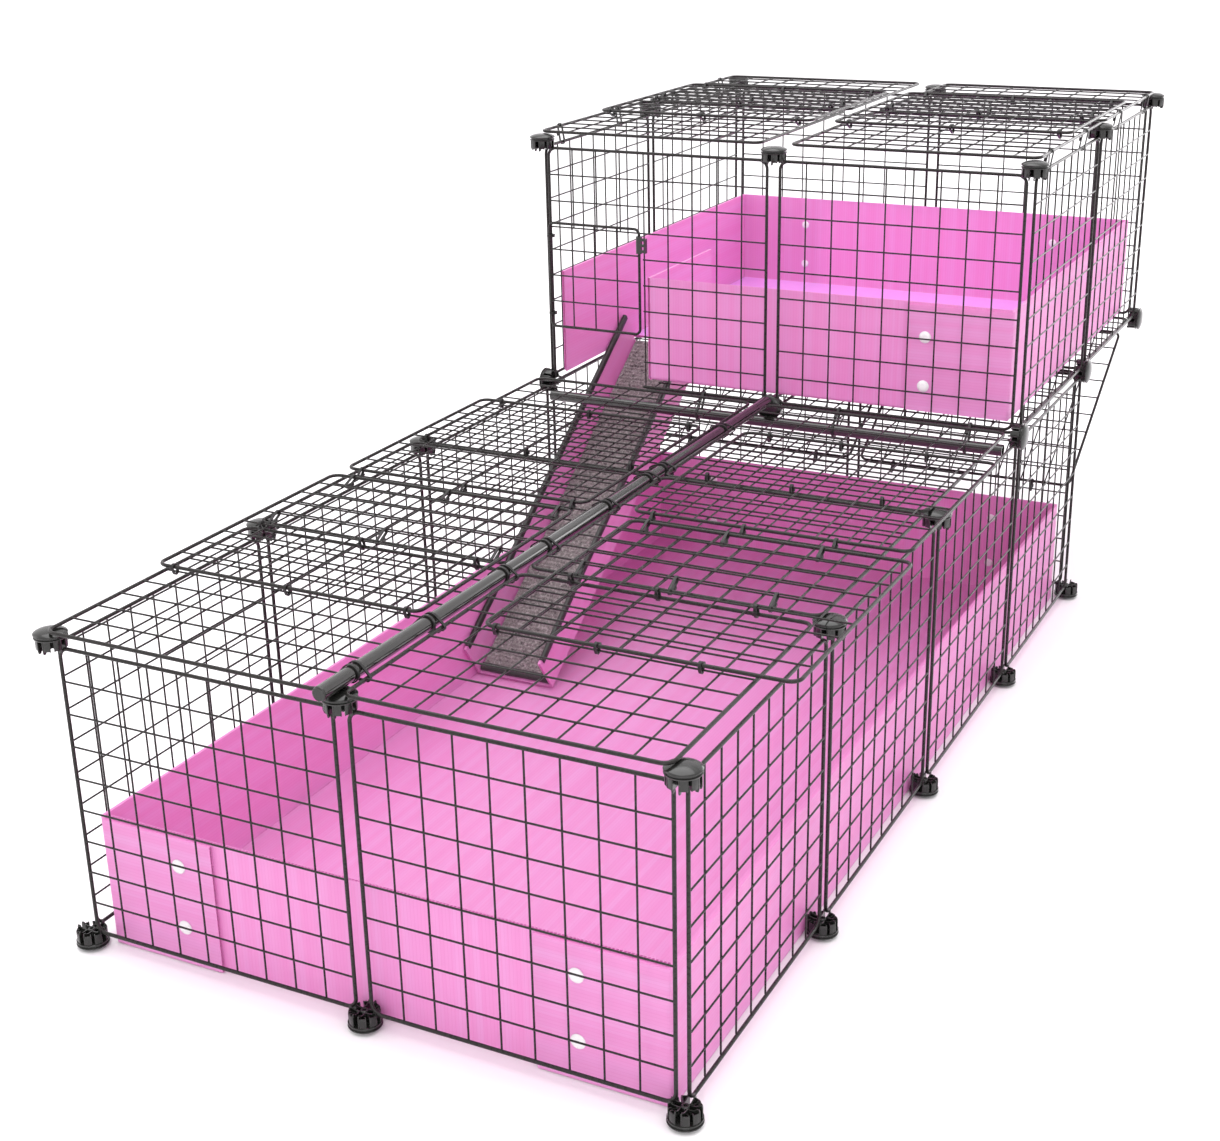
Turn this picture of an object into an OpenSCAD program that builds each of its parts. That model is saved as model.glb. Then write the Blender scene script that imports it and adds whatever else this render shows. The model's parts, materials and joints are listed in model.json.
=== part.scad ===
// Two-level wire rabbit cage built from square wire grids, push-fit connectors and folded plastic trays.
// X runs across the front, Y runs back, Z is up. The origin is on the floor under the middle of the base.

/* [Wire grids] */
// Spacing of the connector posts across and along the cage
pitch = 365; // [364:1:367]
// Height of one grid level, connector centre to connector centre
level = 360; // [360:1:362]
// Outer size of one square grid
grid = 350; // [349:0.5:350]
// Thickness of the edge wire of a grid
edge_d = 4.3; // [4.1:0.1:4.4]
// Thickness of the mesh wires inside a grid
mesh_d = 2.2; // [2:0.1:2.2]
// Bend radius of the corners of a grid
corner_r = 12; // [10:1:14]
// How far the doorway and the ramp opening reach across, in squares
cut_cols = 4; // [4]
// How far the doorway and the ramp opening reach up or back, in squares
cut_rows = 6; // [6]

/* [Connectors] */
// Outer radius of a connector
conn_r = 18.5; // [18:0.1:18.5]
// Width of the slots that hold the wires
slot_w = 5.4; // [5.2:0.1:5.6]

/* [Trays] */
// Thickness of the corrugated plastic sheet
sheet = 4; // [3.6:0.2:4]
// Height of the base tray wall
base_wall = 160; // [150:1:165]
// Height of the loft tray wall
loft_wall = 155; // [145:1:160]
// Length of the folded corner flaps
flap = 150; // [130:5:160]
// Diameter of a rivet head
rivet_d = 17; // [14:1:18]

/* [Ramp] */
// Outer width of the ramp
ramp_w = 126; // [120:1:126]
// Slope of the ramp
ramp_slope = 35; // [34:0.5:36]
// Height of the ramp side walls
ramp_side = 65; // [60:1:66]
// Thickness of the felt mat
mat_t = 6; // [5:0.5:8]

/* [Tubes and ties] */
// Diameter of the ridge tube and of the cross tube
tube_d = 16; // [15:0.5:16]
// Thickness of a cable tie band
tie_t = 1.5; // [1.2:0.1:1.6]
// Width of a cable tie band
tie_w = 3.2; // [2.6:0.1:3.6]

/* [Hidden] */

squares = 9;                         // squares along one side of a grid
edge_r = edge_d / 2;
mesh_r = mesh_d / 2;
mesh_off = mesh_r + 0.02;            // height of each mesh layer from the grid plane
mesh_gap = 0.03;                     // from the edge wire to the end of a mesh wire
square = (grid - edge_d) / squares;

dome_h = 13;                         // from a connector's centre to the top of its dome
foot_z = dome_h;                     // foot connector centres
loft_z = foot_z + level;             // loft floor
top_z = loft_z + level;              // top of the loft walls
side_gap = (pitch - grid) / 2;       // from a post axis to a grid edge
end_gap = (level - grid) / 2;        // from a connector centre up to a grid edge
base_grid_z = foot_z + end_gap;      // lower edges of the wall grids
loft_grid_z = loft_z + end_gap;
rest_gap = 0.5;                      // between a dome and what lies over it

black_wire = [0.10, 0.10, 0.11];
black_plastic = [0.07, 0.07, 0.08];
pink_sheet = [0.93, 0.45, 0.78];
grey_felt = [0.25, 0.25, 0.27];

// Start of bay i, across or along
function bay(i) = i*pitch + side_gap;
// Middle of square k of a grid that starts at the given place
function square_mid(start, k) = start + edge_r + (k + 0.5)*square;

// The cage is drawn from its front left post and then centred over the base
module cage() translate([-pitch, -2*pitch, 0]) children();

// ---------- wires and grids ----------
module rod_x(x0, x1, y, z, d)
  translate([x0, y, z]) rotate([0, 90, 0]) cylinder(d = d, h = x1 - x0, $fn = 32);
module rod_y(y0, y1, x, z, d)
  translate([x, y0, z]) rotate([-90, 0, 0]) cylinder(d = d, h = y1 - y0, $fn = 32);
module bend(x, y, turn, bend_r, d)
  translate([x, y, 0]) rotate([0, 0, turn])
    rotate_extrude(angle = 90, $fn = 64) translate([bend_r, 0]) circle(d = d, $fn = 32);

// Rounded wire frame w x h, lying in XY from the origin. With open_x set, the lower side
// starts there and the left side runs straight to the bottom.
module wire_frame(w, h, d, bend_r, open_x = 0) {
  wire_r = d / 2;
  low = wire_r + bend_r;
  right = w - low;
  top = h - low;
  if (open_x > 0) {
    rod_x(open_x, right, wire_r, 0, d);
    rod_y(0, top, wire_r, 0, d);
  } else {
    rod_x(low, right, wire_r, 0, d);
    rod_y(low, top, wire_r, 0, d);
    bend(low, low, 180, bend_r, d);
  }
  rod_x(low, right, h - wire_r, 0, d);
  rod_y(low, top, w - wire_r, 0, d);
  bend(right, low, 270, bend_r, d);
  bend(right, top, 0, bend_r, d);
  bend(low, top, 90, bend_r, d);
}

// One welded wire grid with cols x rows squares cut from its lower left corner
module wire_grid(cols = 0, rows = 0) {
  inset = edge_d + mesh_gap;
  wire_frame(grid, grid, edge_d, corner_r, cols > 0 ? edge_r + cols*square - 3 : 0);
  for (i = [1:squares - 1]) {
    place = edge_r + i*square;
    // cut wires reach 1 mm past the middle of the wire that borders the opening
    rod_x(i < rows ? edge_r + cols*square - 1 : inset, grid - inset, place, mesh_off, mesh_d);
    rod_y(i < cols ? edge_r + rows*square - 1 : inset, grid - inset, place, -mesh_off, mesh_d);
  }
}

module flat_grid(x, y, z, cols = 0, rows = 0)
  color(black_wire) cage() translate([x, y, z]) wire_grid(cols, rows);
// Wall facing front or back: bay across, and the row of posts it stands on
module across_grid(i, row, z, cols = 0, rows = 0)
  color(black_wire) cage() translate([bay(i), row*pitch, z]) rotate([90, 0, 0]) wire_grid(cols, rows);
// Side wall: the line of posts it stands on, and bay along
module along_grid(line, j, z)
  color(black_wire) cage() translate([line*pitch, bay(j), z]) rotate([90, 0, 90]) wire_grid();

module base_front_left_grid() across_grid(0, 0, base_grid_z);
module base_front_right_grid() across_grid(1, 0, base_grid_z);
module base_back_left_grid() across_grid(0, 4, base_grid_z);
module base_back_right_grid() across_grid(1, 4, base_grid_z);
module base_left_grid_1() along_grid(0, 0, base_grid_z);
module base_left_grid_2() along_grid(0, 1, base_grid_z);
module base_left_grid_3() along_grid(0, 2, base_grid_z);
module base_left_grid_4() along_grid(0, 3, base_grid_z);
module base_right_grid_1() along_grid(2, 0, base_grid_z);
module base_right_grid_2() along_grid(2, 1, base_grid_z);
module base_right_grid_3() along_grid(2, 2, base_grid_z);
module base_right_grid_4() along_grid(2, 3, base_grid_z);
module loft_doorway_grid() across_grid(0, 3, loft_grid_z, cut_cols, cut_rows);
module loft_front_right_grid() across_grid(1, 3, loft_grid_z);
module loft_back_left_grid() across_grid(0, 5, loft_grid_z);
module loft_back_right_grid() across_grid(1, 5, loft_grid_z);
module loft_left_grid_1() along_grid(0, 3, loft_grid_z);
module loft_left_grid_2() along_grid(0, 4, loft_grid_z);
module loft_right_grid_1() along_grid(2, 3, loft_grid_z);
module loft_right_grid_2() along_grid(2, 4, loft_grid_z);
module loft_floor_ramp_grid() flat_grid(bay(0), bay(3), loft_z, cut_cols, cut_rows);
module loft_floor_front_right_grid() flat_grid(bay(1), bay(3), loft_z);
module loft_floor_back_left_grid() flat_grid(bay(0), bay(4), loft_z);
module loft_floor_back_right_grid() flat_grid(bay(1), bay(4), loft_z);

// Slanting grids that carry the loft overhang, from the base's back wall up to the loft floor.
// Places are those of the middles of the lower and upper edge wires.
brace_low_z = loft_z - 189;
brace_low_y = 4*pitch + 6.2;
brace_rise = 177.5;
brace_angle = asin(brace_rise / (grid - edge_d));
module overhang_brace_grids() color(black_wire) cage() for (i = [0, 1])
  translate([bay(i), brace_low_y, brace_low_z]) rotate([brace_angle, 0, 0])
    translate([0, -edge_r, 0]) wire_grid();

// ---------- lids: rows of overlapping grids, alternately in a low and a high layer ----------
// Base lid: near edges, left edges of each wing, and the two layer planes
lid_y = [-15, 175, 351, 550, 703.5];
lid_left_x = [4, -4, 4, -4, 4];
lid_right_x = [pitch + 11, pitch + 55, pitch + 11, pitch + 42, pitch + 11];
lid_layers = [loft_z + 15.3, loft_z + 22.3];

module lid_grid(lefts, k) flat_grid(lefts[k], lid_y[k], lid_layers[k % 2]);
module lid_left_grid_1() lid_grid(lid_left_x, 0);
module lid_left_grid_2() lid_grid(lid_left_x, 1);
module lid_left_grid_3() lid_grid(lid_left_x, 2);
module lid_left_grid_4() lid_grid(lid_left_x, 3);
module lid_left_grid_5() lid_grid(lid_left_x, 4);
module lid_right_grid_1() lid_grid(lid_right_x, 0);
module lid_right_grid_2() lid_grid(lid_right_x, 1);
module lid_right_grid_3() lid_grid(lid_right_x, 2);
module lid_right_grid_4() lid_grid(lid_right_x, 3);
module lid_right_grid_5() lid_grid(lid_right_x, 4);

// Loft lid, its wings hinged on the outer walls
loft_lid_y = [3*pitch + 2, 3*pitch + 184, 3*pitch + 366];
loft_lid_left_x = [-6, -1, -6];
loft_lid_right_x = [for (x = loft_lid_left_x) 2*pitch - x - grid];
loft_lid_layers = [top_z + 15.5, top_z + 22.5];

module loft_lid_grid(lefts, k) flat_grid(lefts[k], loft_lid_y[k], loft_lid_layers[k % 2]);
module loft_lid_left_grid_1() loft_lid_grid(loft_lid_left_x, 0);
module loft_lid_left_grid_2() loft_lid_grid(loft_lid_left_x, 1);
module loft_lid_left_grid_3() loft_lid_grid(loft_lid_left_x, 2);
module loft_lid_right_grid_1() loft_lid_grid(loft_lid_right_x, 0);
module loft_lid_right_grid_2() loft_lid_grid(loft_lid_right_x, 1);
module loft_lid_right_grid_3() loft_lid_grid(loft_lid_right_x, 2);

// ---------- tubes ----------
tube_wall = 1.5;
// The ridge tube rests on the front connector and drops a little towards the loft
tube_near = -31;
tube_far = 3*pitch - 16.5;
tube_front_z = loft_z + dome_h + rest_gap + tube_d/2;  // axis height at y = 0
tube_fall = 10.5 / tube_far;
function tube_z(y) = tube_front_z - tube_fall * y;

// The cross tube runs under the front edge of the loft floor
cross_x = 14.5;
cross_y = 3*pitch - 21;
cross_z = loft_z - 16.5;

module hollow_tube(length) difference() {
  cylinder(d = tube_d, h = length, $fn = 64);
  translate([0, 0, -1]) cylinder(d = tube_d - 2*tube_wall, h = length + 2, $fn = 64);
}
// Turns Z along the ridge tube's axis, from y = 0
module on_ridge() cage()
  translate([pitch, 0, tube_front_z]) rotate([-90 - atan(tube_fall), 0, 0]) children();

module ridge_tube() color(black_plastic) on_ridge()
  translate([0, 0, tube_near]) hollow_tube(tube_far - tube_near);

// Cap with its head below z = 0 and its plug above; columns are radius, height
module tube_cap() {
  tube_r = tube_d/2;
  rotate_extrude($fn = 64) polygon([
    [0, -2.2], [tube_r - 1.6, -2.2], [tube_r - 0.4, -1.4], [tube_r, -0.1],
    [tube_r - 1.8, -0.1], [tube_r - 1.8, 9], [0, 9]]);
}
module ridge_tube_caps() color(black_plastic) on_ridge() {
  translate([0, 0, tube_near]) tube_cap();
  translate([0, 0, tube_far]) mirror([0, 0, 1]) tube_cap();
}
module cross_tube() color(black_plastic) cage()
  translate([cross_x, cross_y, cross_z]) rotate([0, 90, 0]) hollow_tube(2*pitch - 2*cross_x);

// ---------- cable ties ----------
tie_r = 2.7;        // inner radius of a band round an edge or mesh wire
head_len = 4.8;     // head of a tie, along the band
head_h = 3;         // its height off the band's mid-thickness line
head_over = 0.7;    // its overhang at each side of the band

// Outline of a band round circles at a and b: steps round a, then 6 steps round b.
// heading is the direction from a to b; spread is the half angle that the band leaves free on a.
function outline(a, ra, b, rb, heading, spread, steps) = concat(
  [for (i = [0:steps]) let (q = heading + spread + i*(360 - 2*spread)/steps)
    [a[0] + ra*cos(q), a[1] + ra*sin(q)]],
  [for (i = [0:6]) let (q = heading - spread + i*2*spread/6)
    [b[0] + rb*cos(q), b[1] + rb*sin(q)]]);

// Flat band pulled round circles at a and b with inner radii ra and rb, drawn in XY and
// tie_w thick along Z. Seen from a towards b, side 1 puts the head on the left and -1 on the right.
module band(a, ra, b, rb, side = 1) {
  dist = norm(b - a);
  heading = atan2(b[1] - a[1], b[0] - a[0]);
  spread = acos((ra - rb) / dist);
  straight = sqrt(dist*dist - (ra - rb)*(ra - rb));
  steps = ra > 5 ? 12 : 6;
  touch = heading + side*spread;
  linear_extrude(tie_w) difference() {
    polygon(outline(a, ra + tie_t, b, rb + tie_t, heading, spread, steps));
    polygon(outline(a, ra, b, rb, heading, spread, steps));
  }
  translate([a[0] + ra*cos(touch), a[1] + ra*sin(touch), 0])
    rotate([0, 0, heading + side*(spread - 90)])
      translate([straight/2 - head_len/2, side > 0 ? tie_t/2 : -tie_t/2 - head_h, -head_over])
        cube([head_len, head_h, tie_w + 2*head_over]);
}
// Band in the plane across X at x; a and b are [y, z]
module tie_x(x, a, b, ra = tie_r, side = 1)
  translate([x - tie_w/2, 0, 0]) rotate([90, 0, 90]) band(a, ra, b, tie_r, side);
// Band in the plane across Y at y; a and b are [x, z]
module tie_y(y, a, b, ra = tie_r, side = 1)
  translate([0, y + tie_w/2, 0]) rotate([90, 0, 0]) band(a, ra, b, tie_r, side);

// Cross wire nearest to the line y, of a grid whose near edge is at start:
// [y, height above the grid plane]
function wire_at(y, start) =
  let (i = min(squares, max(0, round((y - start - edge_r) / square))))
  [start + edge_r + i*square, (i == 0 || i == squares) ? 0 : mesh_off];

// Ties that lace together the overlapping edges of one row of grids, in the given squares;
// lefts and nears are the grids' left and near edges
module lacing(lefts, nears, layers, cols) {
  count = len(nears);
  for (k = [0:count - 2]) {
    z = layers[k % 2];
    next_z = layers[(k + 1) % 2];
    // near edge of grid k+1 to grid k, and far edge of grid k to grid k+1
    near_y = nears[k + 1] + edge_r;
    far_y = nears[k] + grid - edge_r;
    near_wire = wire_at(near_y, nears[k]);
    far_wire = wire_at(far_y, nears[k + 1]);
    for (c = cols) {
      x = square_mid(max(lefts[k], lefts[k + 1]), c) - abs(lefts[k] - lefts[k + 1])/2
        + 1.5*((c + k) % 2);
      // heads of the near ties point to +Y
      tie_x(x, [near_y, next_z], [near_wire[0], z + near_wire[1]], side = k % 2 == 0 ? 1 : -1);
      // where the next grid of the same layer starts close by, its own tie holds both
      if (k + 2 >= count || nears[k + 2] - nears[k] - grid > 8)
        tie_x(x + (c == 0 ? 6 : -6), [far_y, z], [far_wire[0], next_z + far_wire[1]]);
    }
  }
}

// Loops round the ridge tube that hinge one wing of the base lid on it:
// the first at y = first, the others at [grid, square] moved by shift
loop_squares = [[0, 4], [0, 8], [2, 1], [2, 5], [2, 8], [4, 0], [4, 5]];
module tube_loops(wire_x, shift, first)
  for (y = concat([first], [for (s = loop_squares) square_mid(lid_y[s[0]], s[1]) + shift]))
    // the heads hang under the tube, clear of the other wing
    tie_y(y, [pitch, tube_z(y)], [wire_x, lid_layers[0]], tube_d/2 + 0.5,
      side = wire_x < pitch ? 1 : -1);

module lid_left_ties() color(black_plastic) cage() {
  lacing(lid_left_x, lid_y, lid_layers, [0, 4, 8]);
  tube_loops(lid_left_x[0] + grid - edge_r, 0, 21.4);
}
// The right wing's ties keep to straight rows, as its grids are staggered
module lid_right_ties() color(black_plastic) cage() {
  lacing([for (x = lid_right_x) pitch + 50], lid_y, lid_layers, [0, 3, 6]);
  tube_loops(lid_right_x[0] + edge_r, 8, 30.5);
}
module loft_lid_left_ties() color(black_plastic) cage()
  lacing(loft_lid_left_x, loft_lid_y, loft_lid_layers, [0, 4, 8]);
module loft_lid_right_ties() color(black_plastic) cage()
  lacing(loft_lid_right_x, loft_lid_y, loft_lid_layers, [0, 4, 8]);

// Ties that stay on the frame: loft lid hinges, brace lacing and the cross tube lashing
wall_top = loft_grid_z + grid - edge_r;              // top edge wire of the loft walls
hinge_squares = [[0, 1], [0, 6], [2, 2], [2, 7]];    // [grid, square] of the loft lid
module fixed_ties() color(black_plastic) cage() {
  for (s = hinge_squares) {
    y = square_mid(loft_lid_y[s[0]], s[1]);
    lid_z = loft_lid_layers[0];
    tie_y(y, [0, wall_top], [loft_lid_left_x[s[0]] + edge_r, lid_z]);
    tie_y(y, [2*pitch, wall_top], [loft_lid_right_x[s[0]] + grid - edge_r, lid_z]);
  }
  brace_top = [brace_low_y + (grid - edge_d)*cos(brace_angle), brace_low_z + brace_rise];
  for (i = [0, 1], k = [1, 7]) {
    x = square_mid(bay(i), k);
    tie_x(x, brace_top, [bay(4) + edge_r + 8*square, loft_z + mesh_off]);
    tie_x(x, [brace_low_y, brace_low_z], [4*pitch - mesh_off, base_grid_z + edge_r + 4*square]);
  }
  for (x = [square_mid(bay(0), 6), square_mid(bay(1), 2), square_mid(bay(1), 7)])
    tie_x(x, [cross_y, cross_z], [3*pitch, loft_grid_z + edge_r], tube_d/2 + 0.3);
}

// ---------- connectors ----------
core = 3.5;         // half width of the solid core between the slots
// Domed disc on top, slotted fins below; grids push into the slots and into the rim
module connector() difference() {
  // columns are radius, height
  rotate_extrude($fn = 64) polygon([
    [0, dome_h], [5, dome_h], [10, 12.2], [15, 10.9], [conn_r - 0.6, 9.6], [conn_r, 8.6],
    [conn_r, 3.6], [conn_r - 1.4, 2.9], [conn_r - 1.4, -10.4], [conn_r - 2.2, -11], [0, -11]]);
  for (k = [0:3]) rotate([0, 0, 90*k]) {
    translate([core, -slot_w/2, -13]) cube([20, slot_w, 9.5]);
    translate([core, core, -slot_w/2]) cube([20, 20, slot_w]);
  }
  // narrow diagonal slots
  for (k = [0:3]) rotate([0, 0, 45 + 90*k]) translate([8, -1.6, -13]) cube([20, 3.2, 12]);
}
module foot_connectors() color(black_plastic) cage()
  for (i = [0:2], j = [0:4]) if (i != 1 || j == 0 || j == 4)
    translate([i*pitch, j*pitch, foot_z]) rotate([180, 0, 0]) connector();

module grid_connectors() color(black_plastic) cage() {
  // along the top of the base, dome up
  for (i = [0:2], j = [0:2]) if (i != 1 || j == 0)
    translate([i*pitch, j*pitch, loft_z]) connector();
  // round the loft floor, dome outwards
  for (j = [3:5]) {
    translate([0, j*pitch, loft_z]) rotate([0, -90, 0]) connector();
    translate([2*pitch, j*pitch, loft_z]) rotate([0, 90, 0]) connector();
  }
  translate([pitch, 3*pitch, loft_z]) rotate([90, 0, 0]) connector();
  translate([pitch, 5*pitch, loft_z]) rotate([-90, 0, 0]) connector();
  // middle of the loft floor, dome up
  translate([pitch, 4*pitch, loft_z]) connector();
  // top of the loft, dome up
  for (i = [0:2], j = [3:5]) if (i != 1 || j != 4)
    translate([i*pitch, j*pitch, top_z]) connector();
}

// ---------- trays ----------
tray_in = 19;                        // from a post axis to a tray's outer face
flap_gap = 0.3;                      // between an end wall and the flap outside it
flap_out = flap_gap + sheet;         // from an end wall's outer face to the flap's
flap_lift = 1.5;                     // flap's lower edge above the tray's underside
flap_drop = 3;                       // flap's upper edge below the wall's top
tray_x = [tray_in, 2*pitch - tray_in];
tray_inner_w = tray_x[1] - tray_x[0] - 2*flap_out;
base_y = [tray_in, 4*pitch - tray_in];
loft_y = [3*pitch + 17.3, 5*pitch - tray_in];
loft_tray_z = loft_z + dome_h + rest_gap;
// Notch in the front left of the loft tray, round the ramp opening: right and back limits
notch_x = 160;
notch_y = 3*pitch + 242;

// Rivet places; heights are above each tray's underside
base_rivet_x = [tray_in + 105, 2*pitch - tray_in - 103];
base_rivet_z = [47, 123];
loft_rivet_x = [142, 588];
loft_rivet_z = [38, 108];

// Children at a flap's outer face, facing the front or the back end of a tray
module at_front(x, ends, z) translate([x, ends[0] - flap_out, z]) children();
module at_back(x, ends, z) translate([x, ends[1] + flap_out, z]) mirror([0, 1, 0]) children();
module at_base_rivets() for (x = base_rivet_x, z = base_rivet_z) {
  at_front(x, base_y, z) children();
  at_back(x, base_y, z) children();
}
module at_loft_rivets() for (z = loft_rivet_z) {
  at_front(loft_rivet_x[1], loft_y, loft_tray_z + z) children();
  for (x = loft_rivet_x) at_back(x, loft_y, loft_tray_z + z) children();
}

// Rivet through flap and wall, from the outer face at y = 0 inwards; columns are radius, depth
module rivet() rotate([-90, 0, 0]) {
  inner = sheet + flap_out;
  rotate_extrude($fn = 48) polygon([
    [0, -3.2], [rivet_d*0.28, -2.9], [rivet_d*0.42, -1.9], [rivet_d/2, -0.6], [rivet_d/2, -0.05],
    [3, -0.05], [3, inner + 0.05], [6.5, inner + 0.05], [6.5, inner + 0.9],
    [5, inner + 1.8], [0, inner + 2]]);
}
module rivet_hole() rotate([-90, 0, 0])
  translate([0, 0, -1]) cylinder(r = 3.2, h = sheet + flap_out + 2, $fn = 32);

module corner_flap(x, y, z, wall)
  translate([x, y, z + flap_lift]) cube([flap, sheet, wall - flap_lift - flap_drop]);

module base_tray() color(pink_sheet) cage() difference() {
  union() {
    depth = base_y[1] - base_y[0];
    translate([tray_x[0], base_y[0], 0]) cube([tray_x[1] - tray_x[0], depth, sheet]);
    for (x = [tray_x[0], tray_x[1] - sheet])
      translate([x, base_y[0] - flap_out, flap_lift])
        cube([sheet, depth + 2*flap_out, base_wall - flap_lift]);
    for (y = [base_y[0], base_y[1] - sheet])
      translate([tray_x[0] + flap_out, y, 0]) cube([tray_inner_w, sheet, base_wall]);
    for (y = [base_y[0] - flap_out, base_y[1] + flap_gap], x = [tray_x[0], tray_x[1] - flap])
      corner_flap(x, y, 0, base_wall);
  }
  at_base_rivets() rivet_hole();
}

module loft_tray() color(pink_sheet) cage() difference() {
  union() {
    depth = loft_y[1] - loft_y[0];
    difference() {
      translate([tray_x[0], loft_y[0], loft_tray_z])
        cube([tray_x[1] - tray_x[0], depth, sheet]);
      translate([tray_x[0] + sheet, loft_y[0] - 1, loft_tray_z - 1])
        cube([notch_x - tray_x[0] - sheet, notch_y - loft_y[0] + 1, sheet + 2]);
    }
    for (x = [tray_x[0], tray_x[1] - sheet])
      translate([x, loft_y[0] - flap_out, loft_tray_z])
        cube([sheet, depth + 2*flap_out, loft_wall]);
    // wall along the notch, then the front and back walls
    translate([notch_x, loft_y[0], loft_tray_z])
      cube([sheet, notch_y - loft_y[0], loft_wall]);
    translate([notch_x, loft_y[0], loft_tray_z])
      cube([tray_x[1] - flap_out - notch_x, sheet, loft_wall]);
    translate([tray_x[0] + flap_out, loft_y[1] - sheet, loft_tray_z])
      cube([tray_inner_w, sheet, loft_wall]);
    corner_flap(tray_x[1] - flap, loft_y[0] - flap_out, loft_tray_z, loft_wall);
    for (x = [tray_x[0], tray_x[1] - flap])
      corner_flap(x, loft_y[1] + flap_gap, loft_tray_z, loft_wall);
  }
  at_loft_rivets() rivet_hole();
}

module tray_rivets() color("white") cage() {
  at_base_rivets() rivet();
  at_loft_rivets() rivet();
}

// ---------- ramp ----------
// Drawn about the loft floor wire that it hooks over: +Y is up the slope, +Z is out of the deck
ramp_x = 26;
ramp_y = bay(3) + edge_r + cut_rows*square;
deck_z = mesh_r + 1.6;               // underside of the deck from the wire's centre
ramp_foot_z = 4.6;                   // height of the deck's lower end above the floor
ramp_len = (loft_z + mesh_off + deck_z*cos(ramp_slope) - ramp_foot_z) / sin(ramp_slope);
ramp_over = 3;                       // how far the ramp reaches past the wire
trim_t = 1.6;                        // side thickness of an edge trim
trim_top = 1.8;                      // height of a trim above the side wall
trim_drop = 7.4;                     // how far a trim reaches down the side wall
trim_gap = 0.15;
mat_gap = 1;                         // from the mat to each side wall
mat_low = 5;                         // from the ramp's lower end to the mat
mat_over = 2;                        // how far the mat reaches past the wire

module ramp_frame() cage()
  translate([ramp_x, ramp_y, loft_z + mesh_off]) rotate([ramp_slope, 0, 0]) children();

module ramp_channel() color(pink_sheet) ramp_frame() {
  translate([0, -ramp_len, deck_z]) cube([ramp_w, ramp_len + ramp_over, sheet]);
  for (x = [0, ramp_w - sheet])
    translate([x, -ramp_len, deck_z]) cube([sheet, ramp_len + ramp_over, ramp_side]);
}
module ramp_edge_trims() color(black_plastic) ramp_frame()
  for (x = [0, ramp_w - sheet]) difference() {
    translate([x - trim_t, -ramp_len, deck_z + ramp_side - trim_drop])
      cube([sheet + 2*trim_t, ramp_len + ramp_over, trim_drop + trim_top]);
    translate([x - trim_gap, -ramp_len - 1, deck_z + ramp_side - trim_drop - 1])
      cube([sheet + 2*trim_gap, ramp_len + ramp_over + 2, trim_drop + 1 + trim_gap]);
  }
module ramp_felt_mat() color(grey_felt) ramp_frame()
  translate([sheet + mat_gap, -ramp_len + mat_low, deck_z + sheet + 0.3])
    cube([ramp_w - 2*sheet - 2*mat_gap, ramp_len - mat_low + mat_over, mat_t]);

// ---------- loft door ----------
door_w = 152;
door_h = 160;
door_d = 4;                          // thickness of its frame wire
door_bend = 8;
door_x = 8;
door_y = 3*pitch - 5;
door_z = loft_z + 86;
door_cell_w = (door_w - door_d) / 4;
door_cell_h = (door_h - door_d) / 4;
module loft_door() color(black_wire) cage()
  translate([door_x, door_y, door_z]) rotate([90, 0, 0]) {
    inset = door_d + mesh_gap;
    wire_frame(door_w, door_h, door_d, door_bend);
    for (i = [1:3]) {
      rod_x(inset, door_w - inset, door_d/2 + i*door_cell_h, mesh_off, mesh_d);
      rod_y(inset, door_h - inset, door_d/2 + i*door_cell_w, -mesh_off, mesh_d);
    }
  }

// Level bands round the doorway's left edge wire and the door's
hinge_r = 2.65;
module door_hinge_ties() color(black_plastic) cage() for (k = [0, 3])
  translate([0, 0, door_z + door_d/2 + (k + 0.5)*door_cell_h - tie_w/2])
    band([bay(0) + edge_r, 3*pitch], hinge_r, [door_x + door_d/2, door_y], hinge_r);

// Comb-shaped spring clip on the free edge of the door
clip_r = 4.6;
clip_h = 25;
clip_z = door_z + door_d/2 + 3*door_cell_h + 4;
module door_latch() color(black_plastic) cage()
  translate([door_x + door_w - door_d/2, door_y, clip_z]) difference() {
    union() {
      cylinder(r = clip_r, h = clip_h, $fn = 48);
      translate([0, -clip_r, 0]) cube([clip_r, clip_r, clip_h]);
      // three teeth and the bar across their ends
      for (i = [0:2]) translate([0, -clip_r, 2 + 8.5*i]) cube([14, 2.6, 4]);
      translate([12, -8, 2]) cube([2, 6, 21]);
    }
    translate([0, 0, -1]) cylinder(r = 2.35, h = clip_h + 2, $fn = 48);
  }

base_front_left_grid();
base_front_right_grid();
base_back_left_grid();
base_back_right_grid();
base_left_grid_1();
base_left_grid_2();
base_left_grid_3();
base_left_grid_4();
base_right_grid_1();
base_right_grid_2();
base_right_grid_3();
base_right_grid_4();
loft_doorway_grid();
loft_front_right_grid();
loft_back_left_grid();
loft_back_right_grid();
loft_left_grid_1();
loft_left_grid_2();
loft_right_grid_1();
loft_right_grid_2();
loft_floor_ramp_grid();
loft_floor_front_right_grid();
loft_floor_back_left_grid();
loft_floor_back_right_grid();
overhang_brace_grids();
lid_left_grid_1();
lid_left_grid_2();
lid_left_grid_3();
lid_left_grid_4();
lid_left_grid_5();
lid_right_grid_1();
lid_right_grid_2();
lid_right_grid_3();
lid_right_grid_4();
lid_right_grid_5();
loft_lid_left_grid_1();
loft_lid_left_grid_2();
loft_lid_left_grid_3();
loft_lid_right_grid_1();
loft_lid_right_grid_2();
loft_lid_right_grid_3();
loft_door();
door_latch();
door_hinge_ties();
base_tray();
loft_tray();
tray_rivets();
ramp_channel();
ramp_edge_trims();
ramp_felt_mat();
ridge_tube();
ridge_tube_caps();
cross_tube();
foot_connectors();
grid_connectors();
lid_left_ties();
lid_right_ties();
loft_lid_left_ties();
loft_lid_right_ties();
fixed_ties();
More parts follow.
